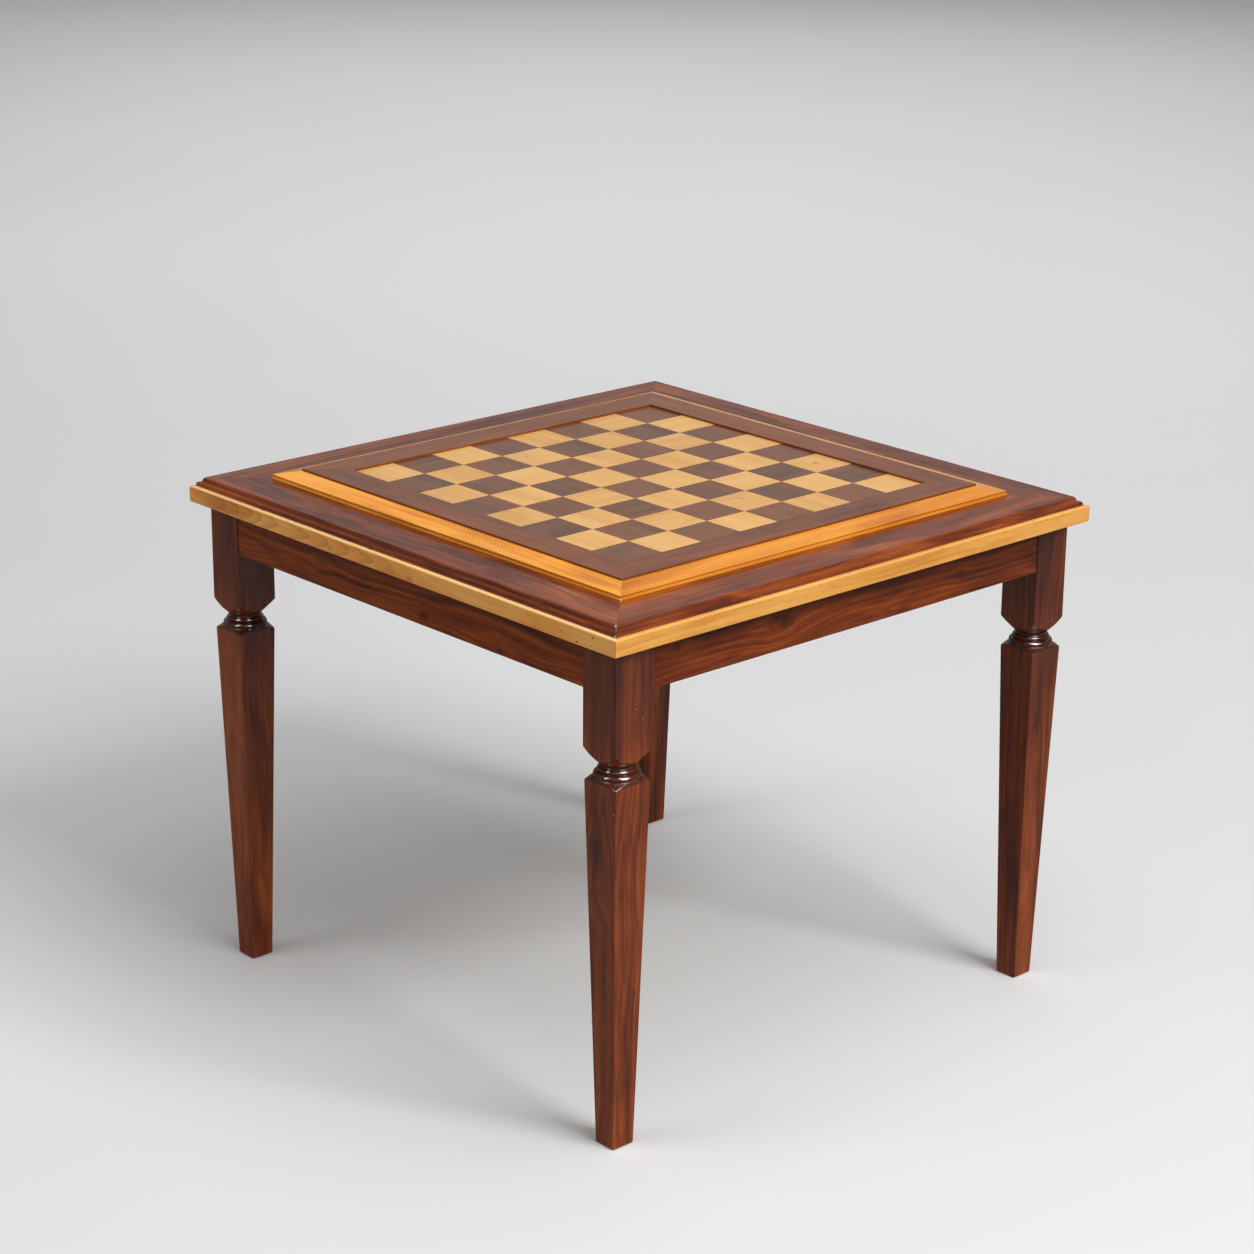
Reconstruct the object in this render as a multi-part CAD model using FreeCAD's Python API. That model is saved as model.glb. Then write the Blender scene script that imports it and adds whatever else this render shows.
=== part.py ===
import FreeCAD, Part
import math
import os

Vector = FreeCAD.Vector

# Chess table with a lift-off inlaid board over a shallow well.
# Millimetres. Origin on the floor under the middle of the table, +Z up,
# -Y is the front and +X the right.

# Playing board
square_size = 57.0
squares_per_side = 8
square_thickness = 3.0
board_frame_width = 41.0
board_frame_proud = 2.4
board_frame_round = 0.6
board_seat = 20.0
board_core_thickness = 18.0
moulding_width = 25.0
moulding_rise = 4.8
moulding_rim = 5.5
rim_lip = 1.2
rim_set_back = 0.8
rim_cove_depth = 1.0
rim_fillet_height = 2.0
rim_edge_round = 0.4
tongue_thickness = 3.0
tongue_width = 12.0
tongue_stop = 42.0

# Table top: dark mitred rails lying on a pale mitred band
rail_margin = 53.3
rail_thickness = 10.0
rail_nose_projection = 7.2
rail_nose_height = 4.6
rail_nose_round = 2.0
rail_nose_flat = 2.2
rail_cove_radius = 2.4
rail_cove_start = 2.4
rail_cove_quirk = 0.2
rail_arris_run = 1.4
rail_arris_drop = 1.8
rail_arris_round = 0.7
band_thickness = 18.5
band_projection = 5.5
band_width = 70.0
band_edge_round = 2.2
band_lower_round = 0.9
spline_thickness = 3.0
spline_length = 34.0
spline_width = 22.0

# Legs and aprons
table_height = 600.0
leg_size = 50.0
leg_overhang = 16.5
leg_block_length = 113.3
leg_edge_round = 0.9
neck_radius = 17.0
neck_cove_height = 3.6
neck_step = 0.5
neck_step_height = 0.6
neck_root = 3.0
pommel_root_radius = 19.0
bead_radius = 20.8
bead_height = 5.0
bead_round = 2.3
bead_quirk = 1.2
torus_radius = 24.8
torus_height = 7.2
torus_round = 3.4
torus_overlap = 1.0
shoulder_root_radius = 24.4
shoulder_drop = 5.5
taper_top = 47.8
foot_size = 28.0
foot_chamfer = 1.6
apron_height = 52.0
apron_thickness = 20.0
apron_setback = 1.5
apron_edge_round = 1.2
tenon_thickness = 8.0
tenon_length = 28.0
tenon_shoulder = 6.0
mortise_clearance = 0.15
mortise_end_gap = 0.6
corner_block_height = 36.0
corner_block_drop = 8.0
corner_block_reach = 48.5

# Well tray
well_clearance = 2.0
tray_side_thickness = 10.0
tray_side_height = 60.0
tray_floor_thickness = 6.0
tray_floor_lift = 5.0
tray_groove_depth = 5.0
tray_groove_clearance = 0.5
baize_thickness = 1.5
tray_block_size = 14.0
tray_block_length = 40.0
tray_block_spacing = 160.0
tray_pin_radius = 0.8
tray_pin_length = 24.0
tray_pin_inset = 10.0

# Buttons, screws
button_width = 26.0
button_depth = 24.0
button_height = 18.0
button_tongue = 6.0
button_tongue_thickness = 5.0
button_groove_drop = 10.0
button_groove_height = 6.0
button_groove_depth = 7.0
button_spacing = 220.0
button_gap = 1.5
screw_radius = 2.0
screw_head_radius = 4.0
screw_head_height = 2.4
screw_point = 4.0
screw_tip_radius = 0.4
screw_slot = 1.0
screw_bore_clearance = 0.5
button_screw_length = 28.0
top_screw_length = 25.0
top_screw_spacing = 180.0
top_screw_row = 12.0
block_screw_length = 25.0
block_screw_bite = 12.0
block_screw_offset = 17.0
block_screw_rise = 10.0

# How far a cutting shape runs past the wood it cuts
overrun = 1.0

# Levels above the floor
chequer_top = table_height - board_frame_proud
core_top = chequer_top - square_thickness
core_bottom = core_top - board_core_thickness
rim_top = chequer_top - moulding_rise
rail_top = rim_top - moulding_rim
band_top = rail_top - rail_thickness
leg_top = band_top - band_thickness
apron_bottom = leg_top - apron_height
block_bottom = leg_top - leg_block_length
corner_block_bottom = leg_top - corner_block_drop - corner_block_height
corner_block_middle = leg_top - corner_block_drop - corner_block_height / 2.0

# Distances from the middle of the table
chequer_half = square_size * squares_per_side / 2.0
board_frame_half = chequer_half + board_frame_width
core_half = chequer_half + board_seat
board_half = board_frame_half + moulding_width
rail_arris_half = board_half + rail_margin
rail_half = rail_arris_half + rail_nose_projection
band_half = rail_half + band_projection
band_inner_half = band_half - band_width
leg_outer = band_half - leg_overhang
leg_inner = leg_outer - leg_size
leg_axis = leg_outer - leg_size / 2.0
apron_outer = leg_outer - apron_setback
apron_inner = apron_outer - apron_thickness
well_half = core_half + well_clearance
corner_block_end = leg_inner - corner_block_reach
tray_outer = well_half + tray_side_thickness
tray_bottom = band_top - tray_side_height
floor_bottom = tray_bottom + tray_floor_lift
floor_top = floor_bottom + tray_floor_thickness

side_turns = {"front": 0, "right": 90, "back": 180, "left": 270}
corner_turns = {"front_right": 0, "back_right": 90, "back_left": 180, "front_left": 270}


def turned(shape, angle):
    copy = shape.copy()
    copy.rotate(Vector(0, 0, 0), Vector(0, 0, 1), angle)
    return copy


def box(x1, x2, y1, y2, z1, z2):
    return Part.makeBox(x2 - x1, y2 - y1, z2 - z1, Vector(x1, y1, z1))


def all_round(shape):
    return [turned(shape, angle) for angle in side_turns.values()]


def outline(corners, place):
    """Closed wire through (a, b, radius) corners, each rounded by its radius."""
    edges = []
    points = [place(corner[0], corner[1]) for corner in corners]
    count = len(points)
    starts = []
    ends = []
    for i in range(count):
        radius = corners[i][2]
        here = points[i]
        if radius == 0:
            starts.append(here)
            ends.append(here)
            continue
        before = (points[i - 1] - here).normalize()
        after = (points[(i + 1) % count] - here).normalize()
        half_angle = before.getAngle(after) / 2.0
        reach = radius / math.tan(half_angle)
        middle_way = (before + after).normalize()
        middle = here + middle_way * (radius / math.sin(half_angle) - radius)
        start = here + before * reach
        end = here + after * reach
        starts.append(start)
        ends.append(end)
        edges.append(Part.Arc(start, middle, end).toShape())
    for i in range(count):
        start = ends[i]
        end = starts[(i + 1) % count]
        if start.distanceToPoint(end) > 1e-6:
            edges.append(Part.LineSegment(start, end).toShape())
    return Part.Wire(Part.sortEdges(edges)[0])


def front_strip(corners):
    """A mitred strip along the front, from its section of (reach, height, radius)."""
    reach = max(corner[0] for corner in corners) + overrun
    low = min(corner[1] for corner in corners) - overrun
    high = max(corner[1] for corner in corners) + overrun
    section = Part.Face(outline(corners, lambda a, b: Vector(-reach, -a, b)))
    bar = section.extrude(Vector(2 * reach, 0, 0))
    plan = [Vector(0, 0, low), Vector(-reach, -reach, low), Vector(reach, -reach, low)]
    wedge = Part.Face(Part.makePolygon(plan + plan[:1])).extrude(Vector(0, 0, high - low))
    return bar.common(wedge)


def revolved(corners):
    section = Part.Face(outline(corners, lambda a, b: Vector(a, 0, b)))
    return section.revolve(Vector(0, 0, 0), Vector(0, 0, 1), 360)


def screw_body(start, direction, length):
    """Screw with the outer face of its head at start, driven along direction."""
    head = Part.makeCylinder(screw_head_radius, screw_head_height, start, direction)
    shank_start = start + direction * screw_head_height
    shank_length = length - screw_head_height - screw_point
    shank = Part.makeCylinder(screw_radius, shank_length, shank_start, direction)
    point_start = shank_start + direction * shank_length
    point = Part.makeCone(screw_radius, screw_tip_radius, screw_point, point_start, direction)
    return head.fuse(shank).fuse(point).removeSplitter()


def slotted_screw(start, direction, length):
    """The same screw with a driver slot across its head."""
    reach = screw_head_radius + overrun
    slot = Part.makeBox(2 * reach, screw_slot, screw_head_height / 2.0 + overrun,
                        Vector(-reach, -screw_slot / 2.0, -overrun))
    slot = slot.transformGeometry(
        FreeCAD.Placement(start, FreeCAD.Rotation(Vector(0, 0, 1), direction)).toMatrix())
    return screw_body(start, direction, length).cut(slot)


def cut_all(shape, tools):
    return shape.cut(Part.makeCompound(tools))


# Screws, placed along the front or in the front right corner

up = Vector(0, 0, 1)
button_centre = apron_inner - button_depth / 2.0
button_screw_starts = [Vector(side * button_spacing / 2.0, -button_centre, leg_top - button_height)
                       for side in (-1, 1)]
top_screw_starts = [Vector(step * top_screw_spacing, -(band_inner_half + top_screw_row), leg_top)
                    for step in (-1, 0, 1)]
block_screw_place = corner_block_end + block_screw_offset
block_screw_seat = apron_inner + block_screw_bite - block_screw_length
block_screw_starts = [
    (Vector(block_screw_seat, -block_screw_place, corner_block_middle + block_screw_rise / 2.0),
     Vector(1, 0, 0)),
    (Vector(block_screw_place, -block_screw_seat, corner_block_middle - block_screw_rise / 2.0),
     Vector(0, -1, 0))]


def front_button_screws():
    return [screw_body(start, up, button_screw_length) for start in button_screw_starts]


def front_top_screws():
    return [screw_body(start, up, top_screw_length) for start in top_screw_starts]


def corner_screws():
    return [screw_body(start, way, block_screw_length) for start, way in block_screw_starts]


# Splines across the mitres of the rails and of the band

def corner_spline(middle_reach, level):
    plate = box(-spline_length / 2.0, spline_length / 2.0, -spline_width / 2.0, spline_width / 2.0,
                level - spline_thickness / 2.0, level + spline_thickness / 2.0)
    plate.rotate(Vector(0, 0, 0), Vector(0, 0, 1), -45)
    plate.translate(Vector(middle_reach, -middle_reach, 0))
    return plate


rail_spline_reach = (well_half + rail_arris_half) / 2.0
band_spline_reach = (band_inner_half + band_half) / 2.0
rail_splines = all_round(corner_spline(rail_spline_reach, band_top + rail_thickness / 2.0))
band_splines = all_round(corner_spline(band_spline_reach, leg_top + band_thickness / 2.0))


def make_tenon(grow, end_gap):
    """Tenon at the right end of the front apron, grown by its clearances for the mortise."""
    middle = apron_inner + apron_thickness / 2.0
    return box(leg_inner - grow, leg_inner + tenon_length + end_gap,
               -middle - tenon_thickness / 2.0 - grow, -middle + tenon_thickness / 2.0 + grow,
               apron_bottom + tenon_shoulder - grow, leg_top - tenon_shoulder + grow)


def mirrored(shape):
    return shape.mirror(Vector(0, 0, 0), Vector(1, 0, 0))


def make_leg():
    """Front right leg: square head, turned neck and a square taper to the foot."""
    corner_radius = leg_size / math.sqrt(2)
    half = leg_size / 2.0
    pommel_end = block_bottom - (corner_radius - pommel_root_radius)
    neck_low = pommel_end - neck_cove_height
    bead_low = neck_low - bead_height
    torus_low = bead_low - torus_height
    shoulder_top = torus_low + torus_overlap
    neck_bottom = torus_low - neck_root
    clear = corner_radius + overrun

    head = box(-half, half, -half, half, pommel_end, leg_top)
    upright = [edge for edge in head.Edges if abs(edge.tangentAt(edge.FirstParameter).z) > 0.9]
    head = head.makeFillet(leg_edge_round, upright)
    pommel = revolved([(0, leg_top + overrun, 0), (clear, leg_top + overrun, 0),
                       (clear, block_bottom + overrun, 0),
                       (pommel_root_radius, pommel_end, 0), (0, pommel_end, 0)])
    head = head.common(pommel)

    neck = revolved([(0, pommel_end + neck_root, 0),
                     (neck_radius + neck_step, pommel_end + neck_root, 0),
                     (neck_radius + neck_step, pommel_end - neck_step_height, 0),
                     (neck_radius, pommel_end - neck_step_height, 0),
                     (neck_radius, neck_low, 0),
                     (bead_radius, neck_low, bead_round), (bead_radius, bead_low, bead_round),
                     (bead_radius - bead_quirk, bead_low, 0),
                     (torus_radius, bead_low, torus_round), (torus_radius, torus_low, torus_round),
                     (neck_radius, torus_low, 0), (neck_radius, neck_bottom, 0),
                     (0, neck_bottom, 0)])

    shoulder_corner = taper_top / math.sqrt(2)
    shoulder_level = shoulder_top - shoulder_drop
    slope = shoulder_drop / (shoulder_corner - shoulder_root_radius)
    shoulder_clear = shoulder_corner + overrun
    shoulder = revolved([(0, shoulder_top, 0), (shoulder_root_radius, shoulder_top, 0),
                         (shoulder_clear, shoulder_level - slope * overrun, 0),
                         (shoulder_clear, 0, 0), (0, 0, 0)])
    growth = (taper_top - foot_size) / shoulder_level

    def square(level, size):
        reach = size / 2.0
        return Part.makePolygon([Vector(-reach, -reach, level), Vector(reach, -reach, level),
                                 Vector(reach, reach, level), Vector(-reach, reach, level),
                                 Vector(-reach, -reach, level)])

    wide_end = square(shoulder_top, taper_top + growth * shoulder_drop)
    narrow_end = square(foot_chamfer, foot_size + growth * foot_chamfer)
    taper = Part.makeLoft([narrow_end, wide_end], True, True)
    slanting = [edge for edge in taper.Edges if abs(edge.tangentAt(edge.FirstParameter).z) > 0.9]
    taper = taper.makeFillet(leg_edge_round, slanting)
    taper = taper.common(shoulder)
    foot = Part.makeLoft([square(0, foot_size - 2 * foot_chamfer), narrow_end], True, True)
    foot_edges = [edge for edge in foot.Edges if abs(edge.tangentAt(edge.FirstParameter).z) > 0.3]
    foot = foot.makeFillet(leg_edge_round, foot_edges)

    leg = head.fuse([neck, taper, foot]).removeSplitter()
    leg.translate(Vector(leg_axis, -leg_axis, 0))
    front_mortise = make_tenon(mortise_clearance, mortise_end_gap)
    side_mortise = turned(mirrored(front_mortise), 90)
    return leg.cut(front_mortise).cut(side_mortise)


def make_apron():
    """Front apron, tenoned at both ends, grooved inside for the buttons."""
    section = Part.Face(outline([(apron_outer, leg_top, 0), (apron_inner, leg_top, 0),
                                 (apron_inner, apron_bottom, apron_edge_round),
                                 (apron_outer, apron_bottom, apron_edge_round)],
                                lambda a, b: Vector(-leg_inner, -a, b)))
    board = section.extrude(Vector(2 * leg_inner, 0, 0))
    groove_top = leg_top - button_groove_drop
    groove = box(-leg_inner, leg_inner, -apron_inner - button_groove_depth,
                 -apron_inner + overrun, groove_top - button_groove_height, groove_top)
    tenon = make_tenon(0, 0)
    apron = board.cut(groove).fuse([tenon, mirrored(tenon)]).removeSplitter()
    screws = corner_screws()
    holes = [screws[1], mirrored(screws[1])]
    holes += [turned(screws[0], -90), mirrored(turned(screws[0], -90))]
    return cut_all(apron, holes)


def make_corner_block():
    """Glue block behind the front right leg, fitted round its inner corner."""
    low = corner_block_bottom
    plan = [Vector(apron_inner, -corner_block_end, low), Vector(apron_inner, -leg_inner, low),
            Vector(leg_inner, -leg_inner, low), Vector(leg_inner, -apron_inner, low),
            Vector(corner_block_end, -apron_inner, low)]
    block = Part.Face(Part.makePolygon(plan + plan[:1])).extrude(Vector(0, 0, corner_block_height))
    cuts = []
    for start, way in block_screw_starts:
        cuts.append(screw_body(start, way, block_screw_length))
        cuts.append(Part.makeCylinder(screw_head_radius + screw_bore_clearance, corner_block_reach,
                                      start + way * screw_head_height, way * -1))
    return cut_all(block, cuts)


def make_rail():
    """Dark front rail of the table top, with its moulded outer edge."""
    nose_top = band_top + rail_nose_height
    return front_strip([
        (well_half, band_top, 0), (well_half, rail_top, rail_arris_round),
        (rail_arris_half, rail_top, rail_arris_round),
        (rail_arris_half + rail_arris_run, rail_top - rail_arris_drop, 0),
        (rail_arris_half + rail_cove_start, nose_top + rail_cove_quirk, rail_cove_radius),
        (rail_half - rail_nose_flat, nose_top, 0),
        (rail_half, nose_top, rail_nose_round), (rail_half, band_top, 0)])


def make_band():
    """Pale front band under the rails, proud of them all round."""
    return front_strip([
        (band_inner_half, leg_top, 0), (band_inner_half, band_top, 0),
        (band_half, band_top, band_edge_round), (band_half, leg_top, band_lower_round)])


def make_board_moulding():
    """Pale sloping moulding round the playing board, with a coved outer rim."""
    lip_half = board_half - rim_set_back
    cove_half = lip_half - rim_cove_depth
    lip_low = rim_top - rim_lip
    fillet_top = rail_top + rim_fillet_height
    return front_strip([
        (core_half, rail_top, 0), (core_half, chequer_top, 0), (board_frame_half, chequer_top, 0),
        (lip_half, rim_top, rim_edge_round), (lip_half, lip_low, rim_edge_round),
        (cove_half, lip_low, rim_edge_round), (cove_half, fillet_top, rim_edge_round),
        (board_half, fillet_top, rim_edge_round), (board_half, rail_top, 0)])


def make_board_frame():
    """Dark front strip of the board, seated on the core and lapping over the moulding."""
    return front_strip([
        (chequer_half, core_top, 0), (chequer_half, table_height, board_frame_round),
        (board_frame_half, table_height, board_frame_round), (board_frame_half, chequer_top, 0),
        (core_half, chequer_top, 0), (core_half, core_top, 0)])


def make_tongue():
    """Loose tongue that joins the front moulding to the edge of the core."""
    level = (rail_top + core_top) / 2.0
    length = core_half - tongue_stop
    return box(-length, length, -core_half - tongue_width / 2.0, -core_half + tongue_width / 2.0,
               level - tongue_thickness / 2.0, level + tongue_thickness / 2.0)


def make_squares(light):
    """The light or the dark half of the chequer, one solid for each square."""
    squares = []
    for column in range(squares_per_side):
        for row in range(squares_per_side):
            if ((column + row) % 2 == 0) == light:
                x = -chequer_half + column * square_size
                y = -chequer_half + row * square_size
                squares.append(box(x, x + square_size, y, y + square_size, core_top, chequer_top))
    return Part.makeCompound(squares)


def make_tray_side(outer_end):
    """Front side of the well tray, grooved for the floor."""
    groove = box(-well_half - tray_groove_depth, well_half + tray_groove_depth,
                 -well_half - tray_groove_depth, -well_half + overrun, floor_bottom, floor_top)
    side = box(-outer_end, outer_end, -tray_outer, -well_half, tray_bottom, band_top)
    return side.cut(groove)


def make_tray_pins():
    """Pins through the ends of the front and back sides into the left and right sides."""
    pins = []
    for side in (-1, 1):
        for level in (floor_top + tray_pin_inset, band_top - tray_pin_inset):
            start = Vector(side * (well_half + tray_side_thickness / 2.0), -tray_outer, level)
            pins.append(Part.makeCylinder(tray_pin_radius, tray_pin_length, start, Vector(0, 1, 0)))
    return pins + [turned(pin, 180) for pin in pins]


def make_tray_blocks():
    """Glue blocks between the front tray side and the rail above it."""
    blocks = []
    for step in (-1, 0, 1):
        x = step * tray_block_spacing
        blocks.append(box(x - tray_block_length / 2.0, x + tray_block_length / 2.0,
                          -tray_outer - tray_block_size, -tray_outer,
                          band_top - tray_block_size, band_top))
    return blocks


def make_buttons():
    """Two wooden buttons along the front, their tongues in the groove of the apron."""
    buttons = []
    tongue_top = leg_top - button_groove_drop
    for side in (-1, 1):
        x = side * button_spacing / 2.0
        body = box(x - button_width / 2.0, x + button_width / 2.0,
                   -apron_inner + button_gap, -apron_inner + button_depth,
                   leg_top - button_height, leg_top)
        tongue = box(x - button_width / 2.0, x + button_width / 2.0,
                     -apron_inner - button_tongue, -apron_inner + button_gap,
                     tongue_top - button_tongue_thickness, tongue_top)
        buttons.append(cut_all(body.fuse(tongue).removeSplitter(), front_button_screws()))
    return buttons


# Assembly

nodes = {}

leg = make_leg()
corner_block = make_corner_block()
for corner, angle in corner_turns.items():
    nodes["leg_" + corner] = turned(leg, angle)
    nodes["corner_block_" + corner] = turned(corner_block, angle)

tongues = all_round(make_tongue())
button_holes = [turned(screw, angle) for screw in front_button_screws()
                for angle in side_turns.values()]
top_holes = [turned(screw, angle) for screw in front_top_screws() for angle in side_turns.values()]
apron = make_apron()
rail = cut_all(make_rail(), rail_splines + top_holes)
band = cut_all(make_band(), band_splines + top_holes + button_holes)
moulding = cut_all(make_board_moulding(), tongues)
board_frame = make_board_frame()
for side, angle in side_turns.items():
    nodes["apron_" + side] = turned(apron, angle)
    nodes["top_rail_" + side] = turned(rail, angle)
    nodes["band_" + side] = turned(band, angle)
    nodes["board_moulding_" + side] = turned(moulding, angle)
    nodes["board_frame_" + side] = turned(board_frame, angle)

nodes["rail_splines"] = Part.makeCompound(rail_splines)
nodes["band_splines"] = Part.makeCompound(band_splines)

button_screws = [slotted_screw(start, up, button_screw_length) for start in button_screw_starts]
top_screws = [slotted_screw(start, up, top_screw_length) for start in top_screw_starts]
block_screws = [slotted_screw(start, way, block_screw_length) for start, way in block_screw_starts]
nodes["button_screws"] = Part.makeCompound(
    [turned(screw, angle) for screw in button_screws for angle in side_turns.values()])
nodes["top_screws"] = Part.makeCompound(
    [turned(screw, angle) for screw in top_screws for angle in side_turns.values()])
nodes["corner_block_screws"] = Part.makeCompound(
    [turned(screw, angle) for screw in block_screws for angle in corner_turns.values()])
nodes["top_buttons"] = Part.makeCompound(
    [turned(button, angle) for button in make_buttons() for angle in side_turns.values()])

tray_pins = make_tray_pins()
for side, angle in side_turns.items():
    end = tray_outer if side in ("front", "back") else well_half
    nodes["tray_side_" + side] = cut_all(turned(make_tray_side(end), angle), tray_pins)
nodes["tray_pins"] = Part.makeCompound(tray_pins)
nodes["tray_blocks"] = Part.makeCompound(
    [turned(block, angle) for block in make_tray_blocks() for angle in side_turns.values()])
floor_half = well_half + tray_groove_depth - tray_groove_clearance
nodes["tray_floor"] = box(-floor_half, floor_half, -floor_half, floor_half, floor_bottom, floor_top)
nodes["tray_baize"] = box(-well_half, well_half, -well_half, well_half,
                          floor_top, floor_top + baize_thickness)

core = box(-core_half, core_half, -core_half, core_half, core_bottom, core_top)
nodes["board_core"] = cut_all(core, tongues)
nodes["board_tongues"] = Part.makeCompound(tongues)
nodes["light_squares"] = make_squares(True)
nodes["dark_squares"] = make_squares(False)

os.makedirs("parts", exist_ok=True)
for name, shape in nodes.items():
    print(name, len(shape.Solids), "solids", round(shape.Volume / 1000.0, 1), "cm3",
          "valid" if shape.isValid() else "NOT VALID")
    shape.exportStep("parts/" + name + ".step")
print(len(nodes), "nodes")
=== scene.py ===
import math
import random

import bmesh
import bpy
from mathutils import Euler, Matrix, Vector


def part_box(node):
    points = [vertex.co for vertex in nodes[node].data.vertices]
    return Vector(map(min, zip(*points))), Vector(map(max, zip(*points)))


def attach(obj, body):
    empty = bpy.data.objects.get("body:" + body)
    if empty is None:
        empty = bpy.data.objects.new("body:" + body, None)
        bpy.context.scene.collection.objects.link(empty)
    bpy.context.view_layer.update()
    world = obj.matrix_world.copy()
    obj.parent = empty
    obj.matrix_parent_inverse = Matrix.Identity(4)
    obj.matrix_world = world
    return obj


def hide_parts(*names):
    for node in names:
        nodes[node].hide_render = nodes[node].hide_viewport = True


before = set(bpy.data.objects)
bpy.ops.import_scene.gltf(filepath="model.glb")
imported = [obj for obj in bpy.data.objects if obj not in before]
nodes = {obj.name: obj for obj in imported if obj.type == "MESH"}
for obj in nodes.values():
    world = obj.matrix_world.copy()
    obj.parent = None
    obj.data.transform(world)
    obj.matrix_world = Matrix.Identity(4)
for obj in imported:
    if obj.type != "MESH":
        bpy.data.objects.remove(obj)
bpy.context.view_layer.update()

scene = bpy.context.scene
sides = ("front", "back", "left", "right")
corners = ("front_left", "front_right", "back_left", "back_right")
print("frame loaded:", len(nodes), "nodes")


# Small helpers for node trees and meshes

def addNode(tree, kind, sockets=None, **settings):
    made = tree.nodes.new("ShaderNode" + kind)
    for name, value in settings.items():
        setattr(made, name, value)
    for name, value in (sockets or {}).items():
        if isinstance(value, bpy.types.NodeSocket):
            tree.links.new(value, made.inputs[name])
        else:
            made.inputs[name].default_value = value
    return made


def calc(tree, operation, first, second=0.0, clamp=False):
    return addNode(tree, "Math", {0: first, 1: second}, operation=operation, use_clamp=clamp).outputs[0]


def times(tree, first, second):
    return calc(tree, "MULTIPLY", first, second)


def plus(tree, first, second):
    return calc(tree, "ADD", first, second)


def most(tree, soFar, value):
    # the larger of the two; there may be no value so far
    return value if soFar is None else calc(tree, "MAXIMUM", soFar, value)


def shift(tree, operation, first, second):
    return addNode(tree, "VectorMath", {0: first, 1: second}, operation=operation).outputs[0]


def vector(tree, x, y, z):
    return addNode(tree, "CombineXYZ", {0: x, 1: y, 2: z}).outputs[0]


def splitAxes(tree, value):
    return addNode(tree, "SeparateXYZ", {0: value}).outputs


def length(tree, value):
    return addNode(tree, "VectorMath", {0: value}, operation="LENGTH").outputs["Value"]


def objectPoint(tree):
    return addNode(tree, "TexCoord").outputs["Object"]


def spread(tree, value, low, high, newLow=0.0, newHigh=1.0):
    sockets = {"Value": value, "From Min": low, "From Max": high, "To Min": newLow, "To Max": newHigh}
    return addNode(tree, "MapRange", sockets, interpolation_type="SMOOTHSTEP").outputs[0]


def stretch(tree, place, along, across):
    # big numbers make a fine pattern; the grain runs along the pattern's X
    return addNode(tree, "Mapping", {"Vector": place, "Scale": (along, across, across)}).outputs[0]


def cloud(tree, place, along, across, detail, roughness, distortion=0.0):
    sockets = {"Vector": stretch(tree, place, along, across), "Scale": 1.0, "Detail": detail,
               "Roughness": roughness, "Distortion": distortion}
    return addNode(tree, "TexNoise", sockets).outputs["Fac"]


def around(tree, value, strength):
    # a 0..1 pattern as a push up or down of up to the given strength
    return times(tree, calc(tree, "SUBTRACT", value, 0.5), strength * 2.0)


def band(tree, value, places, colours):
    made = addNode(tree, "ValToRGB", {"Fac": value})
    ramp = made.color_ramp
    while len(ramp.elements) < len(places):
        ramp.elements.new(0.5)
    for element, place, colour in zip(ramp.elements, places, colours):
        element.position = place
        element.color = (*colour, 1.0)
    return made.outputs["Color"]


def blend(tree, share, first, second, kind="MIX"):
    made = addNode(tree, "Mix", {0: share}, data_type="RGBA", blend_type=kind)
    for slot, value in ((6, first), (7, second)):
        if isinstance(value, bpy.types.NodeSocket):
            tree.links.new(value, made.inputs[slot])
        else:
            made.inputs[slot].default_value = (*value, 1.0)
    return made.outputs[2]


def shade(tree, colour, factor):
    grey = addNode(tree, "CombineColor", {0: factor, 1: factor, 2: factor}).outputs[0]
    return blend(tree, 1.0, colour, grey, "MULTIPLY")


def newGroup(name, inputs, outputs):
    tree = bpy.data.node_groups.new(name, "ShaderNodeTree")
    for label, value in inputs.items():
        kind = "NodeSocketVector" if value is None else "NodeSocketFloat"
        socket = tree.interface.new_socket(label, in_out="INPUT", socket_type=kind)
        if value is not None:
            socket.default_value = value
    for label, kind in outputs.items():
        tree.interface.new_socket(label, in_out="OUTPUT", socket_type="NodeSocket" + kind)
    return tree, tree.nodes.new("NodeGroupInput").outputs, tree.nodes.new("NodeGroupOutput").inputs


def useGroup(tree, group, sockets):
    return addNode(tree, "Group", sockets, node_tree=group).outputs


def newMaterial(name, **settings):
    material = bpy.data.materials.new(name)
    material.use_nodes = True
    tree = material.node_tree
    tree.nodes.clear()
    shader = addNode(tree, "BsdfPrincipled", settings)
    addNode(tree, "OutputMaterial", {"Surface": shader.outputs[0]})
    return material, tree, shader


def addBump(tree, shader, height, strength, distance, normal=None):
    bump = addNode(tree, "Bump", {"Strength": strength, "Distance": distance, "Height": height})
    if normal is not None:
        tree.links.new(normal, bump.inputs["Normal"])
    tree.links.new(bump.outputs[0], shader.inputs["Normal"])


def addObject(name, mesh):
    data = bpy.data.meshes.new(name)
    mesh.to_mesh(data)
    mesh.free()
    made = bpy.data.objects.new(name, data)
    scene.collection.objects.link(made)
    return made


# Effects that several finishes share. A noise pattern is given as its scale along and across
# the grain, its detail, its roughness and sometimes its distortion; a pair whose name ends in
# edge says where a mask is empty and where it is full

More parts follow.
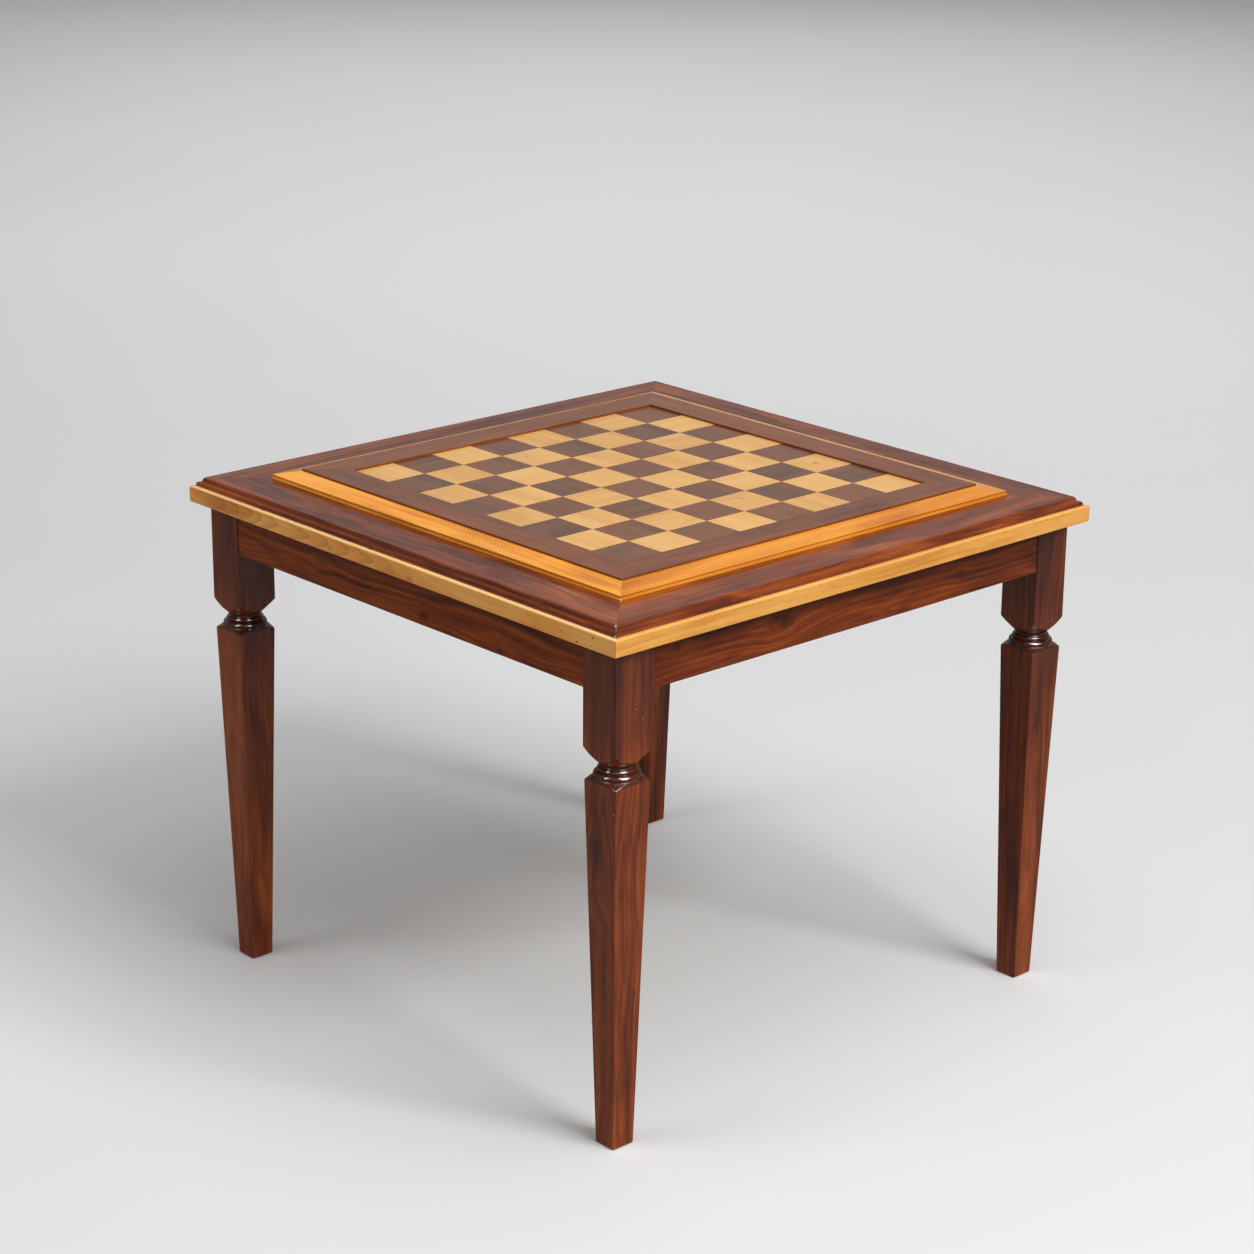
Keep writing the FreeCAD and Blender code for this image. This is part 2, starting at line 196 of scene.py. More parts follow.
grainShape = {
    "seedSteps": (1.37, 0.61, 0.83), "bend": (3.0, 9.0), "lateWood": 3.0,
    "streaks": (3.2, 75.0, 3.0, 0.55, 0.4), "fineStreaks": (7.0, 260.0, 3.0, 0.55),
    "fibre": (22.0, 900.0, 2.0, 0.6), "pores": (150.0, 1900.0, 1.0, 0.5), "poreEdge": (0.62, 0.74),
    "clouds": (4.5, 17.0, 3.0, 0.55, 0.8), "patches": (9.0, 26.0, 4.0, 0.58, 1.8),
}
knotShape = {"long": 1.7, "fall": -0.45, "push": 0.9, "lumps": (2.2, 2.2, 3.0, 0.65), "ragged": 0.9,
             "edge": (1.1, 0.15)}
wearShape = {"radius": 0.0009, "samples": 6, "patches": (70.0, 70.0, 3.0, 0.6),
             "patchEdge": (0.40, 0.62)}
markShape = {"smallest": 0.5, "edge": (1.0, 0.5)}
seamShape = {"halfWidth": 0.0003, "edge": (1.5, 0.3)}
wholeRange = (0.2, 0.8)  # nearly all of a noise pattern lies between these


def makeWoodGrain():
    # solid wood: growth rings round a heart line along X, with streaks, fibre, pores and clouds
    tree, given, out = newGroup(
        "woodGrain",
        {"Vector": None, "Seed": 0.0, "Ring Pitch": 0.004, "Heart Side": 0.02, "Heart Depth": 0.07,
         "Wander": 0.03},
        {"Rings": "Float", "Late Wood": "Float", "Streaks": "Float", "Fine Streaks": "Float",
         "Fibre": "Float", "Pores": "Float", "Clouds": "Float", "Patches": "Float"})
    shape = grainShape
    seed = given["Seed"]
    start = vector(tree, *(times(tree, seed, step) for step in shape["seedSteps"]))
    place = shift(tree, "ADD", given["Vector"], start)
    bend = addNode(tree, "TexNoise", {"Vector": stretch(tree, place, *shape["bend"]), "Scale": 1.0,
                                      "Detail": 2.0})
    bendAway = shift(tree, "SUBTRACT", bend.outputs["Color"], (0.5, 0.5, 0.5))
    wander = shift(tree, "MULTIPLY", bendAway, vector(tree, 0.0, given["Wander"], given["Wander"]))
    bent = shift(tree, "ADD", place, wander)
    heart = vector(tree, 0.0, given["Heart Side"], given["Heart Depth"])
    fromHeart = shift(tree, "ADD", shift(tree, "ADD", given["Vector"], wander), heart)
    fromHeart = shift(tree, "MULTIPLY", fromHeart, (0.0, 1.0, 1.0))
    rings = calc(tree, "DIVIDE", length(tree, fromHeart), given["Ring Pitch"])
    ringNoise = addNode(tree, "TexNoise", {"W": plus(tree, rings, seed), "Scale": 1.0, "Detail": 2.0,
                                           "Roughness": 0.55}, noise_dimensions="1D").outputs["Fac"]
    year = calc(tree, "FRACT", plus(tree, rings, ringNoise))
    pores = cloud(tree, bent, *shape["pores"])
    made = {
        "Rings": ringNoise,
        "Late Wood": calc(tree, "POWER", year, shape["lateWood"]),
        "Streaks": cloud(tree, bent, *shape["streaks"]),
        "Fine Streaks": cloud(tree, bent, *shape["fineStreaks"]),
        "Fibre": cloud(tree, bent, *shape["fibre"]),
        "Pores": spread(tree, pores, *shape["poreEdge"]),
        "Clouds": cloud(tree, place, *shape["clouds"]),
        "Patches": cloud(tree, bent, *shape["patches"]),
    }
    for label, value in made.items():
        tree.links.new(value, out[label])
    return tree


def makeKnotSwirl():
    # a knot: the grain parts round it, and its middle is dark with a ragged edge
    tree, given, out = newGroup("knotSwirl", {"Vector": None, "Centre": None, "Size": 0.01},
                                {"Push": "Float", "Dark": "Float"})
    shape = knotShape
    size = given["Size"]
    offset = shift(tree, "SUBTRACT", given["Vector"], given["Centre"])
    oval = vector(tree, times(tree, size, shape["long"]), size, size)
    away = shift(tree, "DIVIDE", offset, oval)
    distance = length(tree, away)
    fall = calc(tree, "EXPONENT", times(tree, times(tree, distance, distance), shape["fall"]))
    tree.links.new(times(tree, fall, shape["push"]), out["Push"])
    lumps = cloud(tree, away, *shape["lumps"])
    ragged = plus(tree, distance, around(tree, lumps, shape["ragged"]))
    tree.links.new(spread(tree, ragged, *shape["edge"]), out["Dark"])
    return tree


def makeEdgeWearAndGlint():
    # the arrises: a mask where they are painted paler, for rubbed-thin finish and, on the board frames,
    # a painted highlight; and the softened normal that catches the light
    tree, given, out = newGroup("edgeWearAndGlint", {"Vector": None, "Sharpness": 3.0},
                                {"Pale Arris": "Float", "Normal": "Vector"})
    shape = wearShape
    softened = addNode(tree, "Bevel", {"Radius": shape["radius"]}, samples=shape["samples"]).outputs[0]
    flat = addNode(tree, "NewGeometry").outputs["Normal"]
    turn = addNode(tree, "VectorMath", {0: softened, 1: flat}, operation="DOT_PRODUCT").outputs["Value"]
    arris = calc(tree, "MULTIPLY", calc(tree, "SUBTRACT", 1.0, turn), given["Sharpness"], clamp=True)
    patches = cloud(tree, given["Vector"], *shape["patches"])
    tree.links.new(times(tree, arris, spread(tree, patches, *shape["patchEdge"])), out["Pale Arris"])
    tree.links.new(softened, out["Normal"])
    return tree


def makeSmallMarks():
    # sparse nicks and specks of a used table
    tree, given, out = newGroup(
        "smallMarks", {"Vector": None, "Spacing": 0.02, "Share": 0.3, "Size": 0.1, "Long": 2.0},
        {"Marks": "Float"})
    narrow = vector(tree, calc(tree, "DIVIDE", 1.0, given["Long"]), 1.0, 1.0)
    spaced = shift(tree, "MULTIPLY", given["Vector"], narrow)
    scale = calc(tree, "DIVIDE", 1.0, given["Spacing"])
    cells = addNode(tree, "TexVoronoi", {"Vector": spaced, "Scale": scale, "Randomness": 1.0})
    pick = addNode(tree, "SeparateColor", {0: cells.outputs["Color"]}).outputs
    few = calc(tree, "LESS_THAN", pick[0], given["Share"])
    reach = times(tree, given["Size"], plus(tree, markShape["smallest"], pick[1]))
    near = spread(tree, calc(tree, "DIVIDE", cells.outputs["Distance"], reach), *markShape["edge"])
    tree.links.new(times(tree, few, near), out["Marks"])
    return tree


def makeMitreSeam():
    # the glue line of the mitres, on the table's two diagonals
    tree, given, out = newGroup("mitreSeam", {"Vector": None, "Half Width": seamShape["halfWidth"]},
                                {"Seam": "Float"})
    parts = splitAxes(tree, given["Vector"])
    gap = calc(tree, "SUBTRACT", calc(tree, "ABSOLUTE", parts[0]), calc(tree, "ABSOLUTE", parts[1]))
    away = calc(tree, "DIVIDE", calc(tree, "ABSOLUTE", gap), given["Half Width"])
    tree.links.new(spread(tree, away, *seamShape["edge"]), out["Seam"])
    return tree


woodGrain = makeWoodGrain()
knotSwirl = makeKnotSwirl()
edgeWearAndGlint = makeEdgeWearAndGlint()
smallMarks = makeSmallMarks()
mitreSeam = makeMitreSeam()
print("shared effects ready")


# Woods: each piece has its own material, with the grain along the piece

quarter = math.radians(90)
grainTurns = {"x": (0, 0, 0), "y": (0, 0, -quarter), "z": (0, quarter, 0)}
nickShape = {"spacing": 0.0042, "share": 0.5, "size": 0.20, "fade": 0.3}
arcShape = {"cloudPush": 2.2, "streakPush": 0.4, "sharpness": 2.5, "fade": 0.5}
lacquerShape = {"smudges": (24.0, 24.0, 3.0, 0.6), "smudgeEdge": (0.3, 0.7), "smoother": 0.05,
                "rougher": 0.08, "fibre": 0.25, "pores": -0.5, "strength": 0.35, "distance": 0.00025}


def middle(node):
    low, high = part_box(node)
    return (low + high) / 2


def grainAxis(side):
    return "x" if side in ("front", "back") else "y"


def paint(node, material):
    for slot in nodes[node].material_slots:
        slot.material = material


def partRound(tree, place, at, knots):
    # the grain parts round each knot; knots are (centre, size, darkness) in the same space as at
    dark = None
    for centre, size, darkness in knots:
        knot = useGroup(tree, knotSwirl, {"Vector": at, "Centre": centre, "Size": size})
        offset = shift(tree, "SUBTRACT", at, centre)
        pull = shift(tree, "MULTIPLY", offset, vector(tree, 0.0, knot["Push"], knot["Push"]))
        place = shift(tree, "SUBTRACT", place, pull)
        dark = most(tree, dark, times(tree, knot["Dark"], darkness))
    return place, dark


def grainPlace(tree, axis, centre, knots):
    # object coordinates moved to the piece's middle, turned so that the grain runs along X,
    # and parted round each knot; knots are (centre, size, darkness) in object coordinates
    objectPlace = objectPoint(tree)
    moved = shift(tree, "SUBTRACT", objectPlace, tuple(centre))
    turned = addNode(tree, "Mapping", {"Vector": moved, "Rotation": grainTurns[axis]}).outputs[0]
    turn = Euler(grainTurns[axis]).to_matrix()
    there = [(tuple(turn @ (Vector(point) - Vector(centre))), size, darkness)
             for point, size, darkness in knots]
    place, dark = partRound(tree, turned, turned, there)
    return objectPlace, place, dark


def woodRings(tree, place, look):
    return useGroup(tree, woodGrain, {"Vector": place, "Seed": look["seed"],
                                      "Ring Pitch": look["pitch"], "Heart Side": look["side"],
                                      "Heart Depth": look["depth"], "Wander": look["wander"]})


def fibreShade(tree, wood, grain, factors):
    return shade(tree, wood, spread(tree, grain["Fibre"], *wholeRange, *factors))


def scuffs(tree, objectPlace, places):
    # patches of fine pale nicks; places are (centre, radius)
    nicks = useGroup(tree, smallMarks, {"Vector": objectPlace, "Spacing": nickShape["spacing"],
                                        "Share": nickShape["share"], "Size": nickShape["size"]})
    total = None
    for centre, radius in places:
        distance = length(tree, shift(tree, "SUBTRACT", objectPlace, centre))
        near = spread(tree, distance, radius, radius * nickShape["fade"])
        total = most(tree, total, times(tree, near, nicks["Marks"]))
    return total


def spots(tree, objectPlace, places):
    # single ragged spots; places are (centre, radius)
    total = None
    for centre, radius in places:
        knot = useGroup(tree, knotSwirl, {"Vector": objectPlace, "Centre": centre, "Size": radius})
        total = most(tree, total, knot["Dark"])
    return total


def arcLines(tree, objectPlace, grain, look):
    # growth rings cut at a slant show as bowed lines across a front board, in one part of it
    centre, radius = look["arcsAt"]
    offset = shift(tree, "SUBTRACT", objectPlace, centre)
    parts = splitAxes(tree, offset)
    across = times(tree, plus(tree, parts[1], parts[2]), look["arcBend"])
    rings = plus(tree, calc(tree, "DIVIDE", parts[0], look["arcPitch"]), times(tree, across, across))
    rings = plus(tree, rings, around(tree, grain["Clouds"], arcShape["cloudPush"]))
    rings = plus(tree, rings, around(tree, grain["Streaks"], arcShape["streakPush"]))
    lines = calc(tree, "POWER", calc(tree, "FRACT", rings), arcShape["sharpness"])
    near = spread(tree, length(tree, offset), radius, radius * arcShape["fade"])
    return times(tree, times(tree, lines, near), look["arcs"])


def paleEdges(tree, wood, objectPlace, look):
    wearAndGlint = useGroup(tree, edgeWearAndGlint, {"Vector": objectPlace})
    return blend(tree, times(tree, wearAndGlint["Pale Arris"], look["wearAndGlint"]), wood, look["wornAndLit"]), wearAndGlint["Normal"]


def addSeamAndTipSpots(tree, wood, objectPlace, look, seamColour):
    if look["seam"]:
        seam = useGroup(tree, mitreSeam, {"Vector": objectPlace})["Seam"]
        wood = blend(tree, times(tree, seam, look["seam"]), wood, seamColour)
    # pale spots painted at the listed points on the mitre tips
    if look["tipSpots"]:
        wood = blend(tree, spots(tree, objectPlace, look["tipSpots"]), wood, look["paleSpot"])
    return wood


def lacquer(tree, shader, grain, objectPlace, look, normal=None, dents=None):
    # thin gloss lacquer: it follows the fibre a little and has a slow ripple of its own
    shape = lacquerShape
    smudge = cloud(tree, objectPlace, *shape["smudges"])
    roughness = spread(tree, smudge, *shape["smudgeEdge"], look["gloss"] - shape["smoother"],
                       look["gloss"] + shape["rougher"])
    tree.links.new(roughness, shader.inputs["Roughness"])
    fibre = times(tree, grain["Fibre"], shape["fibre"])
    height = plus(tree, fibre, times(tree, grain["Pores"], shape["pores"]))
    height = plus(tree, height, smudge)
    if dents is not None:
        height = plus(tree, height, times(tree, dents, -1.0))
    addBump(tree, shader, height, shape["strength"], shape["distance"], normal)


rosewoodLook = {
    "deep": (0.030, 0.0070, 0.0040),
    "dark": (0.095, 0.0180, 0.0060),
    "middle": (0.190, 0.0370, 0.0080),
    "light": (0.300, 0.0680, 0.0115),
    "flame": (0.450, 0.1200, 0.0180),
    "purple": (0.62, 0.56, 0.64),
    "wornAndLit": (0.560, 0.2300, 0.0750),
    "paleSpot": (0.80, 0.72, 0.66),
    "stops": (0.12, 0.33, 0.52, 0.72, 0.95),
    "pitch": 0.0060, "side": 0.010, "depth": 0.060, "wander": 0.030,
    "rings": 0.18, "streaks": 0.24, "fine": 0.26, "clouds": 0.24, "patches": 0.40,
    "patchEdge": (0.50, 0.68), "lift": 0.0, "fibre": (0.92, 1.08), "pores": 0.04, "paintedShade": (),
    "pale": 0.0, "paleTop": 0.26, "seam": 0.0, "gloss": 0.12, "shine": 0.5,
    "marks": 0.10, "dentSpace": 0.024, "dentSize": 0.05, "dentPale": 0.65, "scuffPale": 0.50,
    "wearAndGlint": 0.45, "knots": (), "scuffs": (), "tipSpots": (), "seed": 0.0,
}


def makeRosewood(name, axis, centre, **changes):
    look = {**rosewoodLook, **changes}
    material, tree, shader = newMaterial(name)
    objectPlace, place, knots = grainPlace(tree, axis, centre, look["knots"])
    grain = woodRings(tree, place, look)
    tone = 0.5 + look["lift"]
    for pattern, share in (("Rings", "rings"), ("Streaks", "streaks"), ("Fine Streaks", "fine"),
                           ("Clouds", "clouds")):
        tone = plus(tree, tone, around(tree, grain[pattern], look[share]))
    wood = band(tree, tone, look["stops"],
                (look["deep"], look["dark"], look["middle"], look["light"], look["flame"]))
    shadowed = times(tree, spread(tree, grain["Patches"], *look["patchEdge"]), look["patches"])
    wood = blend(tree, shadowed, wood, look["purple"], "MULTIPLY")
    wood = fibreShade(tree, wood, grain, look["fibre"])
    wood = blend(tree, times(tree, grain["Pores"], look["pores"]), wood, look["deep"])
    if knots is not None:
        wood = blend(tree, knots, wood, look["deep"])
    height = splitAxes(tree, objectPlace)[2]
    for low, high, ramp, darkness in look["paintedShade"]:
        # painted shade: darker under the top's overhang, and in the turned neck under each leg's block
        above = spread(tree, height, low, low + ramp)
        shadedBand = times(tree, above, spread(tree, height, high, high - ramp))
        wood = blend(tree, times(tree, shadedBand, darkness), wood, look["deep"])
    if look["pale"]:  # painted light: the lower legs are painted lighter towards the floor, standing in for the floor's light reflected in their lacquer
        wood = shade(tree, wood, spread(tree, height, 0.0, look["paleTop"], 1.0 + look["pale"], 1.0))
    wood, normal = paleEdges(tree, wood, objectPlace, look)
    dents = useGroup(tree, smallMarks, {"Vector": place, "Spacing": look["dentSpace"],
                                        "Share": look["marks"], "Size": look["dentSize"]})["Marks"]
    wood = blend(tree, times(tree, dents, look["dentPale"]), wood, look["wornAndLit"])
    if look["scuffs"]:
        nicks = scuffs(tree, objectPlace, look["scuffs"])
        wood = blend(tree, times(tree, nicks, look["scuffPale"]), wood, look["paleSpot"])
        dents = most(tree, dents, nicks)
    wood = addSeamAndTipSpots(tree, wood, objectPlace, look, look["deep"])
    tree.links.new(wood, shader.inputs["Base Color"])
    shader.inputs["Specular IOR Level"].default_value = look["shine"]
    lacquer(tree, shader, grain, objectPlace, look, normal, dents)
    return material


paleLook = {
    "dark": (0.62, 0.230, 0.034),
    "middle": (0.84, 0.385, 0.070),
    "light": (0.93, 0.500, 0.130),
    "line": (0.58, 0.200, 0.030),
    "knot": (0.13, 0.035, 0.008),
    "wornAndLit": (0.97, 0.680, 0.340),
    "paleSpot": (0.88, 0.80, 0.72),
    "stops": (0.25, 0.50, 0.78),
    "pitch": 0.0050, "side": 0.012, "depth": 0.050, "wander": 0.016,
    "lines": 0.20, "arcs": 0.0, "clouds": 0.42, "streaks": 0.30, "fineShare": 0.6,
    "fibre": (0.90, 1.08), "pores": 0.05, "seam": 0.0, "gloss": 0.18, "shine": 0.5,
    "ledge": 0.0, "ledgeEdge": (0.15, 0.75), "marks": 0.25, "speckTurn": 0.0,
    "speckSpace": 0.014, "speckLong": 2.0, "speckSize": 0.085, "speckDepth": 0.5,
    "wearAndGlint": 0.45, "knots": (), "tipSpots": (), "seed": 0.0,
}


def makePaleWood(name, axis, centre, **changes):
    look = {**paleLook, **changes}
    material, tree, shader = newMaterial(name)
    objectPlace, place, knots = grainPlace(tree, axis, centre, look["knots"])
    grain = woodRings(tree, place, look)
    tone = plus(tree, 0.5, around(tree, grain["Streaks"], look["streaks"]))
    fine = around(tree, grain["Fine Streaks"], look["streaks"] * look["fineShare"])
    tone = plus(tree, tone, fine)
    tone = plus(tree, tone, around(tree, grain["Clouds"], look["clouds"]))
    wood = band(tree, tone, look["stops"], (look["dark"], look["middle"], look["light"]))
    wood = blend(tree, times(tree, grain["Late Wood"], look["lines"]), wood, look["line"])
    if look["arcs"]:
        wood = blend(tree, arcLines(tree, objectPlace, grain, look), wood, look["line"])
    wood = fibreShade(tree, wood, grain, look["fibre"])
    wood = blend(tree, times(tree, grain["Pores"], look["pores"]), wood, look["line"])
    if look["ledge"]:  # painted light: faces that look up are painted paler, as lit from above, with some rubbing as well
        up = splitAxes(tree, addNode(tree, "NewGeometry").outputs["Normal"])[2]
        litAndRubbed = times(tree, spread(tree, up, *look["ledgeEdge"]), look["ledge"])
        wood = blend(tree, litAndRubbed, wood, look["wornAndLit"])
    turned = addNode(tree, "Mapping", {"Vector": place, "Rotation": (0, look["speckTurn"], 0)})
    specks = useGroup(tree, smallMarks, {"Vector": turned.outputs[0], "Spacing": look["speckSpace"],
                                         "Share": look["marks"], "Size": look["speckSize"],
                                         "Long": look["speckLong"]})["Marks"]
    wood = blend(tree, times(tree, specks, look["speckDepth"]), wood, look["knot"])
    if knots is not None:
        wood = blend(tree, knots, wood, look["knot"])
    wood, normal = paleEdges(tree, wood, objectPlace, look)
    wood = addSeamAndTipSpots(tree, wood, objectPlace, look, look["knot"])
    tree.links.new(wood, shader.inputs["Base Color"])
    shader.inputs["Specular IOR Level"].default_value = look["shine"]
    lacquer(tree, shader, grain, objectPlace, look, normal)
    return material


legs = {
    "front_right": dict(seed=23.0, side=0.050, depth=0.045, wander=0.050, patches=0.55, marks=0.16,
                        knots=(((0.308, -0.3435, 0.335), 0.012, 0.35),
                               ((0.322, -0.3435, 0.290), 0.010, 0.30),
                               ((0.306, -0.3435, 0.245), 0.013, 0.35),
                               ((0.3435, -0.330, 0.040), 0.003, 0.8)),
                        scuffs=(((0.3435, -0.314, 0.492), 0.026), ((0.3435, -0.308, 0.470), 0.016),
                                ((0.3435, -0.338, 0.39), 0.020))),
    "front_left": dict(seed=11.0, side=0.035, depth=0.050, lift=0.03, rings=0.12, streaks=0.16,
                       clouds=0.44, patches=0.55, wander=0.060),
    "back_right": dict(seed=41.0, side=0.030, depth=-0.060, lift=-0.055, streaks=0.26, clouds=0.32,
                       scuffs=(((0.3435, 0.322, 0.535), 0.010),)),
    "back_left": dict(seed=37.0, side=-0.040, depth=0.050, lift=-0.06, clouds=0.34),
}
aprons = {
    "front": dict(seed=3.0, lift=0.015,
                  knots=(((0.039, -0.342, 0.518), 0.007, 0.75), ((-0.140, -0.342, 0.536), 0.010, 0.35),
                         ((0.164, -0.342, 0.512), 0.003, 0.70))),
    "right": dict(seed=17.0, lift=-0.07,
                  knots=(((0.342, -0.111, 0.541), 0.015, 0.80), ((0.342, -0.260, 0.543), 0.006, 0.70),
                         ((0.342, 0.165, 0.531), 0.005, 0.40))),
    "back": dict(seed=7.0, knots=(((0.130, 0.342, 0.530), 0.008, 0.6),)),
    "left": dict(seed=13.0, knots=(((-0.342, 0.080, 0.525), 0.009, 0.6),)),
}
topRails = {
    "front": dict(seed=5.0, lift=0.01, knots=(((0.318, -0.352, 0.582), 0.006, 0.3),),
                  tipSpots=(((0.3478, -0.3480, 0.5868), 0.0018), ((0.3500, -0.3502, 0.5840), 0.0017),
                         ((0.3540, -0.3542, 0.5790), 0.0014))),
    "right": dict(seed=31.0, lift=0.02, rings=0.24, streaks=0.34, patches=0.30,
                  knots=(((0.352, -0.200, 0.580), 0.008, 0.35),)),
    "back": dict(seed=19.0, knots=(((0.345, 0.330, 0.587), 0.006, 0.5),)),
    "left": dict(seed=29.0),
}
boardFrames = {
    "front": dict(seed=43.0, lift=-0.02, tipSpots=(((0.2688, -0.2690, 0.5972), 0.0016),)),
    "right": dict(seed=59.0, lift=-0.08),
    "back": dict(seed=47.0),
    "left": dict(seed=53.0),
}
# ledge is painted light: the mouldings' faces that look up are painted paler
mouldings = {
    "front": dict(seed=61.0, lines=0.10, knots=(((0.003, -0.290, 0.594), 0.0012, 0.9),),
                  arcs=0.62, arcPitch=0.0060, arcBend=90.0, arcsAt=((0.085, -0.288, 0.594), 0.085),
                  dark=(0.60, 0.195, 0.016), middle=(0.92, 0.360, 0.036), light=(0.97, 0.480, 0.075)),
    "right": dict(seed=73.0, lines=0.10, tipSpots=(((0.2936, -0.2934, 0.5885), 0.0013),)),
    "back": dict(seed=67.0, ledge=0.40, wornAndLit=(0.97, 0.66, 0.30)),
    "left": dict(seed=71.0, ledge=0.25),
}
# ledge is painted light: the bands' faces that look up are painted paler
bands = {
    "front": dict(seed=79.0, wander=0.030, lines=0.16, clouds=0.7, ledge=0.65,
                  marks=0.35, speckSpace=0.0060, speckSize=0.20, speckDepth=0.62,
                  arcs=0.46, arcPitch=0.036, arcBend=80.0, arcsAt=((-0.170, -0.360, 0.568), 0.25),
                  dark=(0.66, 0.225, 0.036), middle=(0.90, 0.362, 0.066),
                  light=(0.96, 0.475, 0.118), line=(0.34, 0.110, 0.018),
                  knots=(((0.039, -0.360, 0.562), 0.005, 0.35), ((-0.098, -0.360, 0.5646), 0.004, 0.30),
                         ((0.303, -0.360, 0.5618), 0.0014, 1.0), ((0.327, -0.360, 0.572), 0.0013, 1.0))),
    "right": dict(seed=97.0, lines=0.10, ledge=0.15, marks=0.80, speckSpace=0.0040, speckLong=4.0,
                  speckSize=0.22, speckTurn=-0.40, speckDepth=0.42, dark=(0.56, 0.210, 0.032),
                  middle=(0.75, 0.350, 0.066), light=(0.82, 0.470, 0.135)),
    "back": dict(seed=83.0, lines=0.2),
    "left": dict(seed=89.0, lines=0.2),
}
# legs: painted shade in the turned neck and on the upper block under the top; the lower legs are painted
# lighter towards the floor, a painted light
legFinish = dict(paintedShade=((0.4090, 0.4330, 0.002, 0.70), (0.432, 0.700, 0.045, 0.40)), pale=0.28, wearAndGlint=0.8)
# aprons: painted shade under the top's overhang
apronFinish = dict(middle=(0.200, 0.0370, 0.0065), light=(0.330, 0.0720, 0.0085), rings=0.20,
                   streaks=0.24, fine=0.22, clouds=0.34, patches=0.45, shine=0.22, wander=0.060,
                   paintedShade=((0.520, 0.700, 0.040, 0.55),))
railFinish = dict(rings=0.26, streaks=0.40, clouds=0.36, wander=0.045, seam=0.10, gloss=0.18,
                  shine=0.38)
bandFinish = dict(seam=0.06)
# board frames: the arrises are painted paler, partly rubbed wear and partly a painted highlight along
# the inner arris
frameFinish = dict(dark=(0.130, 0.0360, 0.0110), middle=(0.198, 0.0510, 0.0115),
                   light=(0.270, 0.0740, 0.0155), rings=0.08, streaks=0.20, clouds=0.34, patches=0.25,
                   marks=0.04, wearAndGlint=0.8, seam=0.10, shine=0.42)
mouldingFinish = dict(dark=(0.46, 0.135, 0.010), middle=(0.66, 0.230, 0.018),
                      light=(0.78, 0.320, 0.040), line=(0.34, 0.085, 0.008),
                      wornAndLit=(0.92, 0.55, 0.20), seam=0.06, pitch=0.0024)


def finishLegs():
    for corner in corners:
        name = "leg_" + corner
        look = {**legFinish, **legs[corner]}
        paint(name, makeRosewood("rosewood_" + name, "z", middle(name), **look))


def finishSides(prefix, wood, make, shared, own):
    for side in sides:
        name = prefix + side
        look = {**shared, **own[side]}
        paint(name, make(wood + name, grainAxis(side), middle(name), **look))


sandedFinish = dict(gloss=0.60, lines=0.15, marks=0.05, wearAndGlint=0.2)
beechFinish = dict(seed=101.0, dark=(0.42, 0.22, 0.10), middle=(0.58, 0.34, 0.18),
                   light=(0.68, 0.44, 0.26), line=(0.36, 0.18, 0.08))
plyFinish = dict(seed=103.0, dark=(0.50, 0.33, 0.17), middle=(0.64, 0.46, 0.27),
                 light=(0.74, 0.57, 0.37), line=(0.44, 0.28, 0.14))
trayFinish = dict(dark=(0.16, 0.060, 0.022), middle=(0.26, 0.110, 0.045), light=(0.34, 0.160, 0.070),
                  line=(0.12, 0.045, 0.018), wornAndLit=(0.40, 0.20, 0.09), gloss=0.38)
traySides = {side: dict(seed=107.0 + step) for step, side in enumerate(sides)}


def finishHiddenWoods():
    # the woods out of sight are sanded, not lacquered
    beech = makePaleWood("beech_blocks", "x", (0, 0, 0.55), **beechFinish, **sandedFinish)
    ply = makePaleWood("birch_ply", "x", (0, 0, 0.58), **plyFinish, **sandedFinish)
    for name in nodes:
        slot = nodes[name].material_slots[0].name
        if slot == "beech":
            paint(name, beech)
        elif slot == "birch_ply":
            paint(name, ply)


steelLook = {"scratches": (900.0, 2500.0, 3.0, 0.6), "tarnish": (260.0, 260.0, 3.0, 0.6),
             "stops": (0.30, 0.55, 0.80),
             "colours": ((0.20, 0.19, 0.17), (0.42, 0.41, 0.39), (0.56, 0.55, 0.53)),
             "scratchEdge": (0.3, 0.7), "roughness": (0.28, 0.5), "strength": 0.3, "distance": 0.0001}


def finishScrews():
    look = steelLook
    material, tree, shader = newMaterial("steel_screws", Metallic=1.0)
    place = objectPoint(tree)
    scratches = cloud(tree, place, *look["scratches"])
    tarnish = cloud(tree, place, *look["tarnish"])
    tree.links.new(band(tree, tarnish, look["stops"], look["colours"]), shader.inputs["Base Color"])
    roughness = spread(tree, scratches, *look["scratchEdge"], *look["roughness"])
    tree.links.new(roughness, shader.inputs["Roughness"])
    addBump(tree, shader, scratches, look["strength"], look["distance"])
    for name in nodes:
        if nodes[name].material_slots[0].name == "steel_screw":
            paint(name, material)


finishHiddenWoods()
finishSides("tray_side_", "stained_", makePaleWood, trayFinish, traySides)
finishScrews()
finishLegs()
finishSides("apron_", "rosewood_", makeRosewood, apronFinish, aprons)
finishSides("top_rail_", "rosewood_", makeRosewood, railFinish, topRails)
finishSides("band_", "pale_", makePaleWood, bandFinish, bands)
finishSides("board_frame_", "rosewood_", makeRosewood, frameFinish, boardFrames)
finishSides("board_moulding_", "pale_", makePaleWood, mouldingFinish, mouldings)
print("woods and screws finished")


# The chequer: 64 loose tiles, each cut and laid by hand

chequer = {"count": 8, "thickness": 0.003, "gap": 0.00010, "arris": 0.00025, "arrisSteps": 2,
           "unevenness": 0.00005, "turnedShare": 0.3, "grainSpread": 3, "seed": 64}


